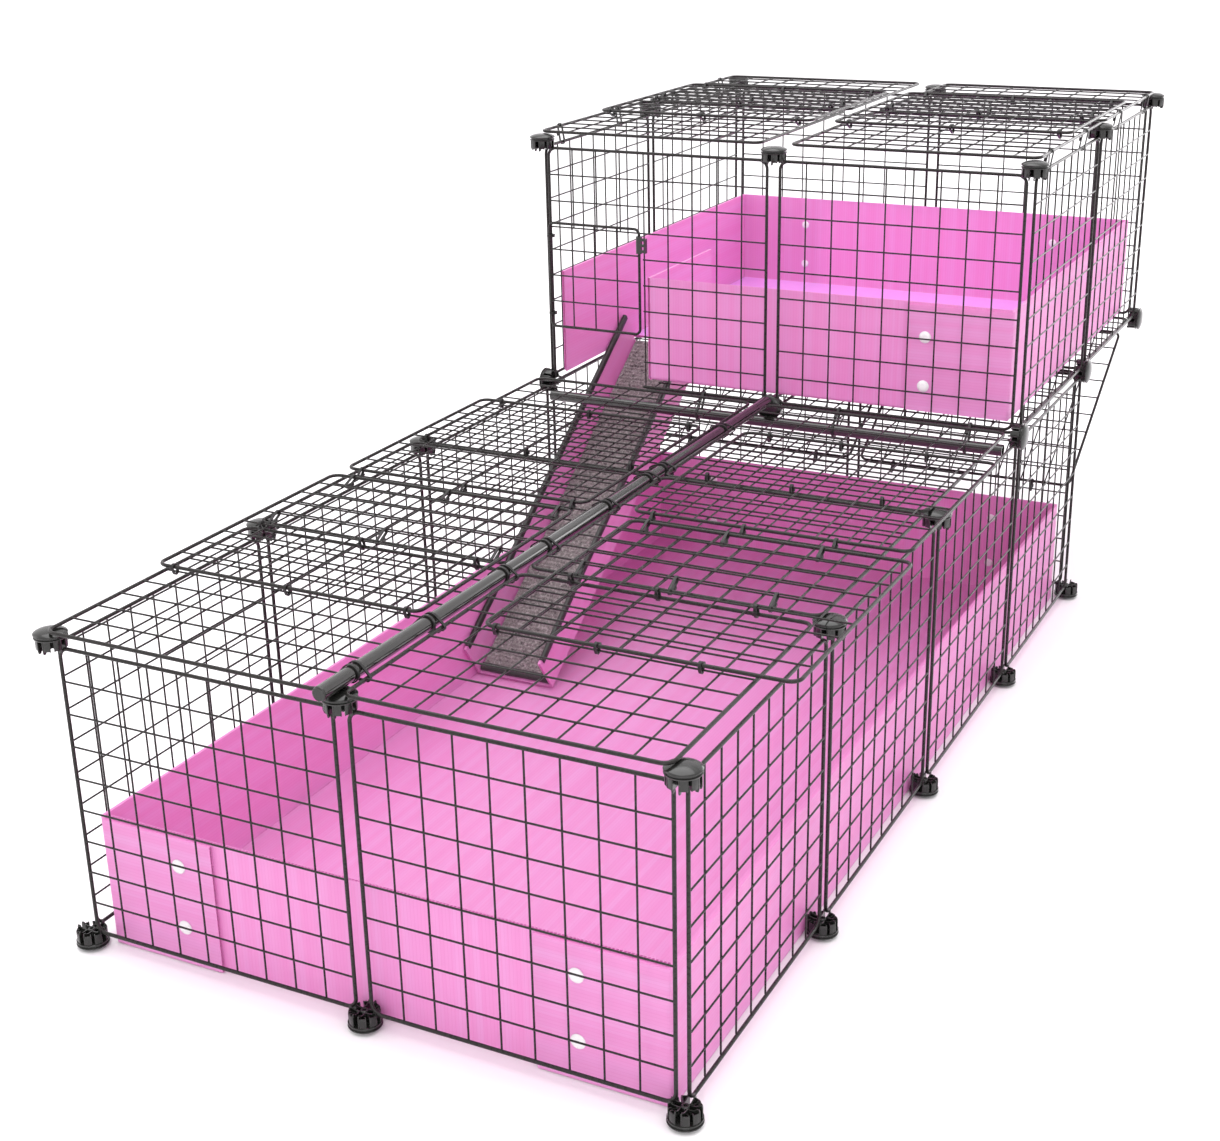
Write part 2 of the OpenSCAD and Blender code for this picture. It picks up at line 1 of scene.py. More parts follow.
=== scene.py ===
"""Two-storey pet enclosure of wire grids, push-fit connectors and pink twin-wall trays.

It stands on the floor at z = 0 with its width along X and its front towards -Y. A channel-shaped
ramp with a felt mat climbs towards +Y to the loft. The wires, tubes, ties, rivets and latch are
CAD pieces that only get a finish; trays, connectors, ramp and weld beads are built here.
"""
import json
import math

import bmesh
import bpy
import numpy as np
from mathutils import Matrix, Vector, noise


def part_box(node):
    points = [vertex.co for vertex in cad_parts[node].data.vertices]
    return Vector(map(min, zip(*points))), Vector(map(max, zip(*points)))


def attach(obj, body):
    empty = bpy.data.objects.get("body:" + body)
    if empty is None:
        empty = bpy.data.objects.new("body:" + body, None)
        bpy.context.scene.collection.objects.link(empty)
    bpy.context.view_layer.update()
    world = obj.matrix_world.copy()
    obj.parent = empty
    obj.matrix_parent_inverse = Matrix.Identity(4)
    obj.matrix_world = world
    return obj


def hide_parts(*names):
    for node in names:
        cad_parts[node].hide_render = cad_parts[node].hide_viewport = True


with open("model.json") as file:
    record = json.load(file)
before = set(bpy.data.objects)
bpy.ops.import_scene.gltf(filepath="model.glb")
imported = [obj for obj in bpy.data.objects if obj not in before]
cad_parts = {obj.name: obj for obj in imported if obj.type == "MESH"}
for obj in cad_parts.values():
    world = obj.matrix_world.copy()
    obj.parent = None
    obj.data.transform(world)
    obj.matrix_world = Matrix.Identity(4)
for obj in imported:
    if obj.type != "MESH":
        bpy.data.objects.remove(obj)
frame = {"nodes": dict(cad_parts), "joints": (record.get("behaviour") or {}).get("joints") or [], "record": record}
CAD = frame["nodes"]
JOINTS = {joint["name"]: joint for joint in frame["joints"]}

MM = 0.001

# Twin-wall sheet
THICK = 0.004          # sheet thickness
FLUTE = 0.0042         # pitch of the flutes
SAG = 0.00016          # dip of the skins between two webs
HOLLOW = 0.005         # depth of the open flute ends
WEB = 0.00045          # half a web, in the units of the sheet's across value
SKIN = 0.0006
BEND = 0.005           # outer radius of a fold
BEND_STEPS = 5
GAP = 0.0003           # gap between an end wall and a flap
FLAP = 0.150           # length of a corner flap

# Wire grids
EDGE = 0.0043          # width of a grid's frame wire
GRID_STEPS = 9         # spaces between wires across a grid

AXIS_X, AXIS_Y, AXIS_Z = Vector((1, 0, 0)), Vector((0, 1, 0)), Vector((0, 0, 1))


def clamp(value):
    return max(0.0, min(1.0, value))


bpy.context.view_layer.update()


# ------------------------------------------------------------------ materials
class Mat:
    """A node material with short helpers. Object coordinates are the part's own metres."""

    def __init__(self, name, rough=0.4, **inputs):
        self.material = bpy.data.materials.new(name)
        self.material.use_nodes = True
        self.tree = self.material.node_tree
        self.tree.nodes.clear()
        self.out = self.add("ShaderNodeOutputMaterial")
        self.bsdf = self.add("ShaderNodeBsdfPrincipled")
        self.bsdf.inputs["Base Color"].default_value = (0.5, 0.5, 0.5, 1)
        self.bsdf.inputs["Roughness"].default_value = rough
        for key, value in inputs.items():
            self.bsdf.inputs[key.replace("_", " ")].default_value = value
        self.link(self.bsdf.outputs[0], self.out.inputs["Surface"])
        self.coords = self.add("ShaderNodeTexCoord").outputs["Object"]

    def add(self, kind, **props):
        node = self.tree.nodes.new(kind)
        for key, value in props.items():
            setattr(node, key, value)
        return node

    def link(self, source, target):
        self.tree.links.new(source, target)

    def set(self, socket, value):
        if isinstance(value, bpy.types.NodeSocket):
            self.link(value, socket)
        else:
            socket.default_value = value

    def stretch(self, scale, rotation=(0, 0, 0)):
        node = self.add("ShaderNodeMapping")
        node.inputs["Scale"].default_value = scale
        node.inputs["Rotation"].default_value = rotation
        self.link(self.coords, node.inputs["Vector"])
        return node.outputs[0]

    def noise(self, scale, detail=3, rough=0.55, coords=None, distort=0.0):
        node = self.add("ShaderNodeTexNoise")
        node.inputs["Scale"].default_value = scale
        node.inputs["Detail"].default_value = detail
        node.inputs["Roughness"].default_value = rough
        node.inputs["Distortion"].default_value = distort
        self.link(coords or self.coords, node.inputs["Vector"])
        return node.outputs["Fac"]

    def wave(self, scale, direction, distort=0.0):
        node = self.add("ShaderNodeTexWave", wave_type="BANDS", bands_direction=direction)
        node.inputs["Scale"].default_value = scale
        node.inputs["Distortion"].default_value = distort
        self.link(self.coords, node.inputs["Vector"])
        return node.outputs["Fac"]

    def attribute(self, name):
        return self.add("ShaderNodeAttribute", attribute_name=name).outputs["Fac"]

    def ramp(self, factor, *stops):
        """Grey ramp through two stops, each (position, value)."""
        node = self.add("ShaderNodeValToRGB")
        for element, (position, value) in zip(node.color_ramp.elements, stops):
            element.position = position
            element.color = (value, value, value, 1)
        self.link(factor, node.inputs[0])
        return node.outputs[0]

    def patches(self, *stops, **noise_inputs):
        """Noise taken through a ramp."""
        return self.ramp(self.noise(**noise_inputs), *stops)

    def mix(self, factor, first, second):
        """First colour at factor 0, second at factor 1."""
        node = self.add("ShaderNodeMix", data_type="RGBA", blend_type="MIX")
        self.set(node.inputs[0], factor)
        for socket, value in ((node.inputs[6], first), (node.inputs[7], second)):
            self.set(socket, (*value, 1) if isinstance(value, tuple) else value)
        return node.outputs[2]

    def math(self, operation, first, second=0.0, clamped=False):
        node = self.add("ShaderNodeMath", operation=operation, use_clamp=clamped)
        self.set(node.inputs[0], first)
        self.set(node.inputs[1], second)
        return node.outputs[0]

    def edges(self, radius, gain):
        """Painted highlight: bright where the surface turns sharply."""
        bevel = self.add("ShaderNodeBevel", samples=4)
        bevel.inputs["Radius"].default_value = radius
        geometry = self.add("ShaderNodeNewGeometry")
        dot = self.add("ShaderNodeVectorMath", operation="DOT_PRODUCT")
        self.link(bevel.outputs[0], dot.inputs[0])
        self.link(geometry.outputs["Normal"], dot.inputs[1])
        turned = self.math("SUBTRACT", 1.0, dot.outputs["Value"], clamped=True)
        return self.math("MULTIPLY", turned, gain, clamped=True)

    def colour(self, value):
        self.link(value, self.bsdf.inputs["Base Color"])

    def rough(self, value):
        self.link(value, self.bsdf.inputs["Roughness"])

    def bump(self, height, strength, distance):
        node = self.add("ShaderNodeBump")
        node.inputs["Strength"].default_value = strength
        node.inputs["Distance"].default_value = distance
        self.link(height, node.inputs["Height"])
        self.link(node.outputs[0], self.bsdf.inputs["Normal"])


def wire_material():
    mat = Mat("black_coated_wire", IOR=1.5, Coat_Weight=0.06, Coat_Roughness=0.12,
              Specular_IOR_Level=0.26)
    broad = mat.noise(scale=14, detail=2)
    fine = mat.noise(scale=900, detail=4, rough=0.65)
    base = mat.mix(broad, (0.0075, 0.0065, 0.0062), (0.015, 0.0135, 0.012))
    base = mat.mix(mat.ramp(fine, (0.3, 0.0), (0.75, 1.0)), base,
                   mat.mix(0.4, base, (0.026, 0.024, 0.022)))
    chips = mat.patches((0.735, 0.0), (0.76, 1.0), scale=170, detail=5, rough=0.7)
    mat.colour(mat.mix(mat.math("MULTIPLY", chips, 0.4), base, (0.12, 0.11, 0.10)))
    mat.rough(mat.patches((0.25, 0.2), (0.8, 0.4), scale=220, detail=4, rough=0.6))
    mat.bump(mat.noise(scale=650, rough=0.6), strength=0.22, distance=0.00016)
    return mat.material


def plastic_material():
    mat = Mat("black_moulded_plastic", IOR=1.5, Coat_Weight=0.22, Coat_Roughness=0.08,
              Specular_IOR_Level=0.38)
    # painted highlight: sharp edges made lighter grey where the noise mask allows; the mask also stands for edge
    # wear
    edge = mat.edges(radius=0.0005, gain=6.6)
    base = mat.mix(mat.noise(scale=40), (0.0075, 0.008, 0.0072), (0.015, 0.0155, 0.0135))
    edge_wear_and_highlight = mat.patches((0.35, 0.1), (0.7, 0.8), scale=260, detail=4)
    mat.colour(mat.mix(mat.math("MULTIPLY", edge, edge_wear_and_highlight), base, (0.085, 0.082, 0.078)))
    scratches = mat.patches((0.5, 0.0), (0.62, 1.0), scale=60, detail=6, rough=0.75,
                            coords=mat.stretch((1, 14, 3), (0.4, 0.2, 0.9)))
    mat.rough(mat.math("ADD", mat.patches((0.3, 0.13), (0.8, 0.26), scale=120),
                       mat.math("MULTIPLY", scratches, 0.12)))
    mat.bump(mat.noise(scale=520, detail=2), strength=0.12, distance=0.0002)
    return mat.material


def tube_material():
    mat = Mat("black_coated_tube", IOR=1.5, Coat_Weight=0.45, Coat_Roughness=0.05)
    drawn = mat.noise(scale=420, detail=4, rough=0.6, coords=mat.stretch((1, 0.03, 1)))
    base = mat.mix(drawn, (0.010, 0.0095, 0.0085), (0.020, 0.019, 0.017))
    scuff = mat.patches((0.63, 0.0), (0.7, 1.0), scale=38, detail=6, rough=0.72,
                        coords=mat.stretch((1, 0.25, 1)))
    mat.colour(mat.mix(mat.math("MULTIPLY", scuff, 0.35), base, (0.09, 0.085, 0.08)))
    mat.rough(mat.ramp(drawn, (0.3, 0.09), (0.75, 0.18)))
    mat.bump(drawn, strength=0.08, distance=0.0002)
    return mat.material


def tie_material():
    mat = Mat("black_nylon", IOR=1.5, Coat_Weight=0.05, Coat_Roughness=0.3,
              Specular_IOR_Level=0.3)
    # painted highlight: sharp edges of the ties made lighter
    edge = mat.edges(radius=0.0004, gain=6.0)
    base = mat.mix(mat.noise(scale=150), (0.008, 0.008, 0.008), (0.018, 0.0175, 0.017))
    mat.colour(mat.mix(mat.math("MULTIPLY", edge, 0.5), base, (0.07, 0.07, 0.066)))
    mat.rough(mat.patches((0.3, 0.3), (0.75, 0.5), scale=300))
    mat.bump(mat.wave(scale=420, direction="DIAGONAL"), strength=0.18, distance=0.0002)
    return mat.material


def sheet_material():
    """Pink sheet, varied flute by flute through the mesh attributes web, cell and painted_top_light, a painted
    light colour on upward faces of the loft floor.
    """
    mat = Mat("pink_twin_wall_sheet", IOR=1.48, Coat_Weight=0.12, Coat_Roughness=0.25)
    web = mat.attribute("web")
    cell = mat.attribute("cell")
    flute_random = mat.add("ShaderNodeTexWhiteNoise", noise_dimensions="1D")
    mat.link(mat.math("FLOOR", cell), flute_random.inputs["W"])
    base = mat.mix(mat.noise(scale=5.5, rough=0.6), (0.855, 0.315, 0.655), (0.885, 0.365, 0.715))
    # broad bands of flutes, then single flutes, that let more or less light through
    bands = mat.add("ShaderNodeTexNoise", noise_dimensions="1D")
    bands.inputs["Scale"].default_value = 0.23
    bands.inputs["Detail"].default_value = 2
    mat.link(cell, bands.inputs["W"])
    base = mat.mix(mat.ramp(bands.outputs["Fac"], (0.42, 0.0), (0.62, 0.55)), base,
                   (0.875, 0.425, 0.775))
    base = mat.mix(mat.ramp(flute_random.outputs["Value"], (0.0, 0.0), (1.0, 0.30)), base,
                   (0.84, 0.275, 0.635))
    base = mat.mix(mat.ramp(web, (0.0, 0.42), (0.28, 0.0)), base, (0.77, 0.235, 0.56))
    scuff = mat.patches((0.64, 0.0), (0.70, 0.07), scale=48, detail=6, rough=0.75,
                        coords=mat.stretch((1, 5, 2), (0.3, 0.1, 0.6)))
    base = mat.mix(scuff, base, (0.93, 0.55, 0.82))
    grime = mat.patches((0.60, 0.0), (0.82, 0.10), scale=9, detail=5, rough=0.7)
    base = mat.mix(grime, base, (0.62, 0.17, 0.40))
    # painted light: a lighter violet colour on the loft floor, only on faces that look up
    facing = mat.add("ShaderNodeSeparateXYZ")
    mat.link(mat.add("ShaderNodeNewGeometry").outputs["True Normal"], facing.inputs[0])
    painted_top_light = mat.attribute("painted_top_light")
    painted_top_light = mat.math("MULTIPLY", painted_top_light, mat.math("GREATER_THAN", facing.outputs["Z"], 0.8))
    base = mat.mix(mat.math("MULTIPLY", painted_top_light, 0.85), base, (0.86, 0.42, 0.97))
    mat.colour(base)
    mat.rough(mat.patches((0.3, 0.30), (0.75, 0.48), scale=70, detail=4))
    mat.bump(mat.noise(scale=900, detail=2), strength=0.07, distance=0.0002)
    glow = mat.add("ShaderNodeBsdfTranslucent")
    mat.link(mat.mix(0.35, base, (0.98, 0.45, 0.82)), glow.inputs["Color"])
    mixer = mat.add("ShaderNodeMixShader")
    mixer.inputs[0].default_value = 0.24    # share of light passing through
    mat.link(mat.bsdf.outputs[0], mixer.inputs[1])
    mat.link(glow.outputs[0], mixer.inputs[2])
    mat.link(mixer.outputs[0], mat.out.inputs["Surface"])
    return mat.material


def rivet_material():
    mat = Mat("white_nylon_rivet", IOR=1.5, Subsurface_Weight=0.25, Coat_Weight=0.2,
              Coat_Roughness=0.2, Subsurface_Radius=(0.002, 0.002, 0.002), Subsurface_Scale=1.0)
    base = mat.mix(mat.noise(scale=90, detail=4), (0.86, 0.85, 0.86), (0.76, 0.745, 0.75))
    marks = mat.patches((0.6, 0.0), (0.75, 0.3), scale=400, detail=5, rough=0.7)
    mat.colour(mat.mix(marks, base, (0.55, 0.5, 0.5)))
    mat.rough(mat.patches((0.3, 0.25), (0.8, 0.42), scale=200))
    mat.bump(mat.noise(scale=700), strength=0.12, distance=0.0002)
    return mat.material


def trim_material():
    mat = Mat("black_edge_trim", IOR=1.48)
    base = mat.mix(mat.noise(scale=60), (0.010, 0.009, 0.009), (0.026, 0.024, 0.023))
    specks = mat.patches((0.55, 0.0), (0.75, 0.5), scale=900, detail=4, rough=0.7)
    mat.colour(mat.mix(specks, base, (0.07, 0.064, 0.06)))
    mat.rough(mat.patches((0.3, 0.36), (0.8, 0.6), scale=250, detail=4))
    mat.bump(mat.noise(scale=1400, rough=0.6), strength=0.3, distance=0.0002)
    return mat.material


def felt_material():
    mat = Mat("charcoal_felt", rough=0.95, Sheen_Weight=0.35, Sheen_Roughness=0.6,
              Specular_IOR_Level=0.15)
    fibre = mat.noise(scale=430, detail=5, rough=0.75, coords=mat.stretch((1, 0.6, 0.6)),
                      distort=0.8)
    fleck = mat.noise(scale=230, detail=4, rough=0.7)
    base = mat.mix(mat.ramp(fibre, (0.36, 0.0), (0.6, 1.0)), (0.075, 0.067, 0.065),
                   (0.25, 0.222, 0.218))
    base = mat.mix(mat.ramp(fleck, (0.52, 0.0), (0.64, 0.8)), base, (0.43, 0.40, 0.39))
    dark = mat.patches((0.54, 0.0), (0.64, 0.85), scale=160, detail=4, rough=0.7)
    mat.colour(mat.mix(dark, base, (0.024, 0.019, 0.019)))
    mat.bump(mat.math("ADD", fibre, fleck), strength=0.9, distance=0.0009)
    return mat.material


def binding_material():
    mat = Mat("black_mat_binding", rough=0.8, Sheen_Weight=0.2)
    weave = mat.wave(scale=260, direction="X", distort=1.5)
    mat.colour(mat.mix(weave, (0.012, 0.011, 0.011), (0.04, 0.037, 0.036)))
    mat.bump(weave, strength=0.5, distance=0.0004)
    return mat.material


def floor_material():
    mat = Mat("pale_floor", rough=0.55, Specular_IOR_Level=0.2)
    mat.colour(mat.mix(mat.noise(scale=0.7), (0.93, 0.922, 0.93), (0.90, 0.892, 0.90)))
    mat.bump(mat.noise(scale=30, detail=4), strength=0.02, distance=0.001)
    return mat.material


WIRE, PLASTIC, TUBE, TIE = wire_material(), plastic_material(), tube_material(), tie_material()
SHEET, RIVET, TRIM = sheet_material(), rivet_material(), trim_material()
FELT, BINDING, FLOOR = felt_material(), binding_material(), floor_material()


# ------------------------------------------------------------------ mesh building
class Build:
    """Points and faces of one mesh, with two numbers for each point of a twin-wall sheet:
    web, 0 over a web and 1 in the middle of a flute, and cell, the place among the flutes."""

    def __init__(self):
        self.points, self.faces, self.web, self.cell = [], [], [], []

    def add(self, point, web=1.0, cell=0.5):
        self.points.append(tuple(point))
        self.web.append(web)
        self.cell.append(cell)
        return len(self.points) - 1

    def face(self, *ids):
        self.faces.append(ids)

    def stamp(self, points, faces):
        base = len(self.points)
        for point in points:
            self.add(point)
        self.faces.extend(tuple(i + base for i in face) for face in faces)

    def skin(self, rings):
        """Joins closed rings of points, one after the other."""
        count = len(rings[0])
        for ring, following in zip(rings, rings[1:]):
            for j in range(count):
                after = (j + 1) % count
                self.face(ring[j], ring[after], following[after], following[j])

    def object(self, name, material, body, slot, replaces=None, angle=32, merge=1e-6,
               is_sheet=False, painted_top_light=None):
        """Makes the object. Sheets carry web, cell and painted_top_light, a mask of painted light; edges over
        angle are sharp.
        """
        data = bpy.data.meshes.new(name)
        data.from_pydata(self.points, [], self.faces)
        if is_sheet:
            painted_top_lights = [painted_top_light(point) if painted_top_light else 0.0 for point in self.points]
            for key, values in (("web", self.web), ("cell", self.cell), ("painted_top_light", painted_top_lights)):
                attribute = data.attributes.new(key, "FLOAT", "POINT")
                attribute.data.foreach_set("value", np.array(values, np.float32))
        bm = bmesh.new()
        bm.from_mesh(data)
        if merge:
            bmesh.ops.remove_doubles(bm, verts=bm.verts, dist=merge)
        bmesh.ops.dissolve_degenerate(bm, edges=bm.edges, dist=1e-7)
        bmesh.ops.recalc_face_normals(bm, faces=bm.faces)
        bm.to_mesh(data)
        bm.free()
        data.polygons.foreach_set("use_smooth", [True] * len(data.polygons))
        data.set_sharp_from_angle(angle=math.radians(angle))
        data.materials.append(material)
        data.update()
        ob = bpy.data.objects.new(name, data)
        bpy.context.scene.collection.objects.link(ob)
        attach(ob, body)
        if replaces:
            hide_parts(replaces)
        return ob


def revolve(mesh, profile, count):
    """Turns (radius, height) points about +Z. The profile starts and ends on the axis."""
    rings = []
    for radius, z in profile:
        if radius == 0:
            rings.append([mesh.add((0, 0, z))])
        else:
            angles = [2 * math.pi * k / count for k in range(count)]
            rings.append([mesh.add((radius * math.cos(a), radius * math.sin(a), z))
                          for a in angles])
    for ring, following in zip(rings, rings[1:]):
        for k in range(count):
            after = (k + 1) % count
            if len(ring) == 1:
                mesh.face(ring[0], following[k], following[after])
            elif len(following) == 1:
                mesh.face(ring[k], following[0], ring[after])
            else:
                mesh.face(ring[k], following[k], following[after], ring[after])


def prism(mesh, outline, across, up, along, start, end):
    """An outline in mm on the axes across and up, drawn out from start to end mm along."""
    ends = [[mesh.add(across * (a * MM) + up * (b * MM) + along * (place * MM))
             for a, b in outline] for place in (start, end)]
    count = len(outline)
    for k in range(count):
        after = (k + 1) % count
        mesh.face(ends[0][k], ends[0][after], ends[1][after], ends[1][k])
    mesh.face(*reversed(ends[0]))
    mesh.face(*ends[1])


class Path:
    """A flat path through corners, each rounded to the fold radius. The sheet lies on its left.
    stops are distances for the rows of the sheet, bends the (start, end) of each fold."""

    def __init__(self, corners, line_step=0.09):
        corners = [Vector(corner) for corner in corners]
        self.pieces, self.bends, self.stops, self.total = [], [], [0.0], 0.0
        start = corners[0]
        for before, corner, after in zip(corners, corners[1:], corners[2:]):
            ahead = (corner - before).normalized()
            turned = (after - corner).normalized()
            turn = math.atan2(ahead.x * turned.y - ahead.y * turned.x, ahead.dot(turned))
            cut = BEND * math.tan(abs(turn) / 2)
            self._line(start, corner - ahead * cut, line_step)
            self._bend(corner - ahead * cut, ahead, turn)
            start = corner + turned * cut
        self._line(start, corners[-1], line_step)

    def _extend(self, length, steps, locate):
        self.pieces.append((self.total, self.total + length, locate))
        for k in range(1, steps + 1):
            self.stops.append(self.total + length * k / steps)
        self.total += length

    def _line(self, start, end, step):
        length = (end - start).length
        ahead = (end - start).normalized()
        normal = Vector((-ahead.y, ahead.x))
        self._extend(length, max(1, round(length / step)),
                     lambda distance: (start + ahead * distance, normal))

    def _bend(self, start, ahead, turn):
        length = BEND * abs(turn)
        side = 1 if turn > 0 else -1
        centre = start + Vector((-ahead.y, ahead.x)) * BEND * side
        first_angle = math.atan2(-ahead.x * side, ahead.y * side)

        def locate(distance):
            angle = first_angle + turn * distance / length
            out = Vector((math.cos(angle), math.sin(angle)))
            return centre + out * BEND, -out * side

        self.bends.append((self.total, self.total + length))
        self._extend(length, BEND_STEPS, locate)

    def at(self, distance):
        """(point, normal to the left) at a distance along the path."""
        for start, end, locate in self.pieces:
            if distance <= end + 1e-9:
                break
        return locate(distance - start)


def cells(start, end, pitch=FLUTE):
    count = max(1, round((end - start) / pitch))
    return [start + (end - start) * k / count for k in range(count + 1)]


def sheet(mesh, place, stops, webs):
    """Twin-wall sheet with open flute ends. place(along, across, depth) gives a point, with
    along following the flutes, across crossing them and depth going through the thickness."""
    cell_count = len(webs) - 1
    columns = []       # (across, 1 in the middle of a flute, flute number)
    for i in range(cell_count):
        columns += [(webs[i], 0, i), ((webs[i] + webs[i + 1]) / 2, 1, i)]
    columns.append((webs[-1], 0, cell_count - 1))
    skins = []
    for is_far in (False, True):
        skins.append([])
        for along in stops:
            row = []
            for across, middle, i in columns:
                depth = THICK - SAG * middle if is_far else SAG * middle
                row.append(mesh.add(place(along, across, depth), float(middle),
                                    i + 0.5 * middle))
            skins[-1].append(row)
    near, far = skins
    last = len(columns) - 1
    for i in range(len(stops) - 1):
        for j in range(last):
            mesh.face(near[i][j], near[i][j + 1], near[i + 1][j + 1], near[i + 1][j])
            mesh.face(far[i][j], far[i + 1][j], far[i + 1][j + 1], far[i][j + 1])
        for j in (0, last):
            mesh.face(near[i][j], near[i + 1][j], far[i + 1][j], far[i][j])
    # a rim and a blind hollow at each end of each flute
    for row, inward in ((0, 1), (len(stops) - 1, -1)):
        for c in range(cell_count):
            near_start, near_mid, near_end = near[row][2 * c:2 * c + 3]
            far_start, far_mid, far_end = far[row][2 * c:2 * c + 3]
            left, right = webs[c] + WEB, webs[c + 1] - WEB
            corners = ((left, SKIN), (right, SKIN), (right, THICK - SKIN), (left, THICK - SKIN))
            mouth, bottom = [
                [mesh.add(place(along, across, depth), 0.6, cell_count - 1)
                 for across, depth in corners]
                for along in (stops[row], stops[row] + inward * HOLLOW)]
            mesh.face(near_start, near_mid, near_end, mouth[1], mouth[0])
            mesh.face(far_end, far_mid, far_start, mouth[3], mouth[2])
            mesh.face(far_start, near_start, mouth[0], mouth[3])
            mesh.face(near_end, far_end, mouth[2], mouth[1])
            for k in range(4):
                after = (k + 1) % 4
                mesh.face(mouth[k], mouth[after], bottom[after], bottom[k])
            mesh.face(*bottom)


# ------------------------------------------------------------------ trays
def wall_sheet(mesh, corners, height, wobble=0.0, phase=0.0, z_base=0.0):
    """A side wall with its corner flaps, along a plan path with the inner side on its left.
    The flutes run level and round into the flaps. A first fold leads out of a flap, and a
    second fold into one; a flap is a little lower than its wall."""
    path = Path(corners, line_step=0.06)
    bends = path.bends
    wall_start = bends[0][1] if bends else 0.0
    wall_end = bends[1][0] if len(bends) > 1 else path.total
    foot_radius = 0.003
    flap_bottom, flap_drop = 0.0015, 0.003

    def wall_share(along):
        """0 in a flap and 1 in the wall."""
        share = 1.0
        if bends:
            flap_end = bends[0][0]
            share = clamp((along - flap_end) / (wall_start - flap_end))
        if len(bends) > 1:
            flap_start = bends[1][1]
            share = min(share, clamp((flap_start - along) / (flap_start - wall_end)))
        return share

    def place(along, across, depth):
        point, normal = path.at(along)
        share = wall_share(along)
        bottom, top = flap_bottom * (1 - share), height - flap_drop * (1 - share)
        z = bottom + (top - bottom) * across
        tuck = 0.0
        if z < foot_radius:
            rise = math.sqrt(max(0.0, foot_radius ** 2 - (foot_radius - z) ** 2))
            tuck = share * (foot_radius - rise)
        inward = depth + tuck * (1 - depth / THICK)
        # a long wall leans and waves a little, most at its top
        part = clamp((along - wall_start) / (wall_end - wall_start))
        wave = 0.75 + 0.6 * math.sin(7.0 * part + phase)
        inward += wobble * across * across * math.sin(math.pi * part) ** 2 * wave
        return Vector((point.x + normal.x * inward, point.y + normal.y * inward, z_base + z))

    sheet(mesh, place, path.stops, cells(0.0, 1.0, FLUTE / height))


def across_sheet(mesh, corners, x_start, x_end, z_base):
    """Floor with its end walls in one bent sheet: corners are (y, z), cells run along X."""
    path = Path(corners)

    def place(along, across, depth):
        point, normal = path.at(along)
        return Vector((across, point.x + normal.x * depth, z_base + point.y + normal.y * depth))

    sheet(mesh, place, path.stops, cells(x_start, x_end))


def end_wall_faces(low, high):
    """Outer y of the two end walls, which stand inside the flaps."""
    return low.y + GAP + THICK, high.y - GAP - THICK


def right_wall(low, high):
    return [(high.x - FLAP, low.y), (high.x, low.y), (high.x, high.y), (high.x - FLAP, high.y)]


def base_tray():
    low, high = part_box("base_tray")
    height = high.z - low.z
    front, back = end_wall_faces(low, high)
    mesh = Build()
    across_sheet(mesh, [(front, height), (front, 0), (back, 0), (back, height)],
                 low.x + THICK + GAP, high.x - THICK - GAP, low.z)
    left_wall = [(low.x + FLAP, high.y), (low.x, high.y), (low.x, low.y), (low.x + FLAP, low.y)]
    wall_sheet(mesh, right_wall(low, high), height, wobble=0.0016, phase=0.4)
    wall_sheet(mesh, left_wall, height, wobble=0.0016, phase=2.1)
    mesh.object("base_tray_sheet", SHEET, "frame", "pink_corrugated", "base_tray", is_sheet=True)


def loft_tray():
    """Tray with a rectangular ramp well at its front left corner."""
    low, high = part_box("loft_tray")
    height = high.z - low.z
    front, back = end_wall_faces(low, high)
    # the well's corner is where the tray floor starts, found from the tray's own points
    points = np.array([v.co for v in CAD["loft_tray"].data.vertices])
    points = points[points[:, 2] < low.z + THICK + 1e-4]
    x, y = points[:, 0], points[:, 1]
    well_x = float(x[(x > low.x + 0.05) & (x < low.x + 0.25)].min())
    beside = y[(x > low.x + 0.003) & (x < low.x + 0.03) & (y > front + 0.05) & (y < back - 0.1)]
    # the fixed depth serves a tray with no floor points in that strip
    well_y = float(beside.min()) if len(beside) else front + 0.2277
    mesh = Build()
    across_sheet(mesh, [(front, height), (front, 0), (back, 0), (back, height)],
                 well_x + THICK, high.x - THICK - GAP, low.z)
    across_sheet(mesh, [(well_y, 0), (back, 0), (back, height)],
                 low.x + THICK + GAP, well_x + THICK, low.z)
    left_wall = [(low.x + FLAP, high.y), (low.x, high.y), (low.x, low.y)]
    wall_sheet(mesh, right_wall(low, high), height, wobble=0.001, phase=0.9, z_base=low.z)
    wall_sheet(mesh, left_wall, height, wobble=0.001, phase=1.7, z_base=low.z)
    wall_sheet(mesh, [(well_x, well_y), (well_x, front)], height, z_base=low.z)
    # painted light: the loft floor's points carry the violet top colour
    mesh.object("loft_tray_sheet", SHEET, "frame", "pink_corrugated", "loft_tray", is_sheet=True,
                painted_top_light=lambda point: 1.0 if point[2] - low.z < THICK + 0.0005 else 0.0)


base_tray()
loft_tray()


# ------------------------------------------------------------------ connectors
# Profiles (radius, height), in mm
DOME = [
    (0, 13.0), (3.5, 12.96), (7, 12.72), (10.5, 12.15), (13.5, 11.35), (15.8, 10.45),
    (17.3, 9.62), (18.2, 8.95), (18.5, 8.35), (18.35, 7.75), (17.6, 7.4), (16.9, 7.25),
    (16.6, 6.9), (16.6, 5.9), (16.9, 5.55), (17.7, 5.4), (18.15, 5.05), (18.2, 4.4),
    (17.9, 3.85), (16.9, 3.6), (0, 3.6)]
HUB = [(0, 3.9), (4.3, 3.9), (4.3, -7.6), (3.7, -8.6), (2.1, -8.6), (2.0, -6.0), (0, -6.0)]
LONG_FIN = [(3.2, 3.7), (17.0, 3.7), (17.0, -8.2), (16.2, -10.9), (13.6, -10.9), (12.2, -8.9),
            (9.0, -7.8), (3.2, -7.8)]
